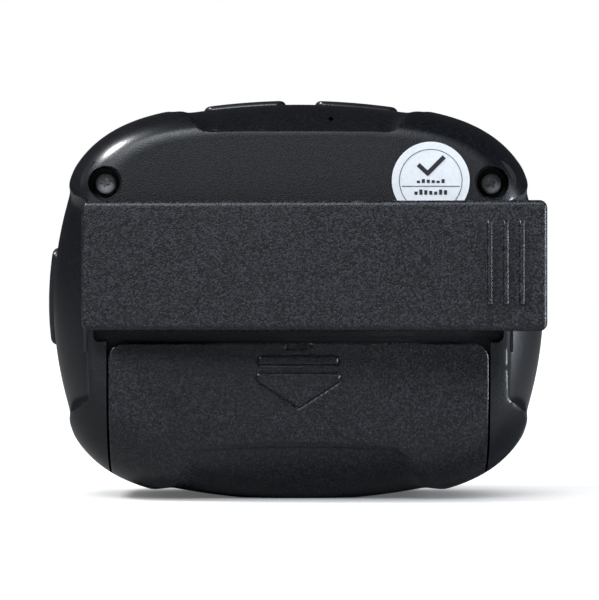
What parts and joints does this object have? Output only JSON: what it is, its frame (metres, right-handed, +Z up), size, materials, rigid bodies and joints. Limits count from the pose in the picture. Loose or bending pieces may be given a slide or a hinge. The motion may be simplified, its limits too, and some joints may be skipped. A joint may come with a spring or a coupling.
{
  "type": "speed radar gun",
  "caption": "Pocket speed radar in a rounded black case, with a sprung belt clip, a sliding battery door, push buttons and a display on its front.",
  "frame": {"origin": "on the flat base, under the middle of the case", "axes": "+Z up, +Y out of the back towards the belt clip, the display faces -Y, the side button is at +X"},
  "size_m": [0.0985, 0.0508, 0.0786],
  "materials": {
    "case_plastic": "fine grained black ABS",
    "door_plastic": "coarser grained black ABS",
    "clip_plastic": "coarse sparkle grained black ABS",
    "key_rubber": "satin black rubber",
    "bezel_gloss": "polished black",
    "lens_clear": "clear acrylic",
    "radome_plastic": "smooth satin charcoal",
    "zinc_steel": "bright zinc plate",
    "spring_steel": "drawn wire",
    "contact_nickel": "nickel plate",
    "board_laminate": "green solder mask",
    "antenna_laminate": "gold flashed copper patches",
    "display_glass": "grey green liquid crystal",
    "white_plastic": "white moulding",
    "switch_plastic": "black moulding",
    "elastomer": "striped conductive rubber",
    "cell_jacket": "printed foil sleeve",
    "lead_black": "insulated lead",
    "lead_red": "insulated lead",
    "sticker_paper": "coated white label stock"
  },
  "bodies": {
    "case": {"front_case": "case_plastic", "rear_cover": "case_plastic", "clip_hinge_pin": "zinc_steel", "clip_torsion_spring": "spring_steel", "upper_left_screw": "zinc_steel", "upper_right_screw": "zinc_steel", "lower_left_screw": "zinc_steel", "lower_right_screw": "zinc_steel", "display_bezel": "bezel_gloss", "display_lens": "lens_clear", "radome_window": "radome_plastic", "left_top_switch": "switch_plastic", "right_top_switch": "switch_plastic", "side_switch": "switch_plastic", "main_board": "board_laminate", "antenna_board": "antenna_laminate", "rf_shield": "contact_nickel", "display_frame": "white_plastic", "display_glass": "display_glass", "display_backlight": "white_plastic", "display_connector": "elastomer", "buzzer": "switch_plastic", "lower_cell": "cell_jacket", "upper_cell": "cell_jacket", "cell_link_contact": "contact_nickel", "negative_contact": "contact_nickel", "positive_contact": "contact_nickel", "negative_lead": "lead_black", "positive_lead": "lead_red", "inspection_sticker": "sticker_paper"},
    "door": {"battery_door": "door_plastic"},
    "clip": {"belt_clip": "clip_plastic"},
    "left_key": {"left_top_button": "key_rubber"},
    "right_key": {"right_top_button": "key_rubber"},
    "side_key": {"side_button": "key_rubber"}
  },
  "joints": [
    {"name": "door_slide", "type": "slide", "parent": "case", "child": "door", "axis": [0, 0, -1], "range_m": [0, 0.032]},
    {"name": "clip_hinge", "type": "hinge", "parent": "case", "child": "clip", "pos_m": [-0.022, 0.0228, 0.04548], "axis": [0, 0, 1], "range_deg": [0, 14], "stiffness_Nm_per_rad": 0.25, "springref_deg": -11.46},
    {"name": "left_key_press", "type": "slide", "parent": "case", "child": "left_key", "axis": [0, 0, -1], "range_m": [0, 0.0007], "stiffness_N_per_m": 400, "springref_m": -0.0005},
    {"name": "right_key_press", "type": "slide", "parent": "case", "child": "right_key", "axis": [0, 0, -1], "range_m": [0, 0.0007], "stiffness_N_per_m": 400, "springref_m": -0.0005},
    {"name": "side_key_press", "type": "slide", "parent": "case", "child": "side_key", "axis": [-1, 0, 0], "range_m": [0, 0.0007], "stiffness_N_per_m": 400, "springref_m": -0.0005}
  ]
}
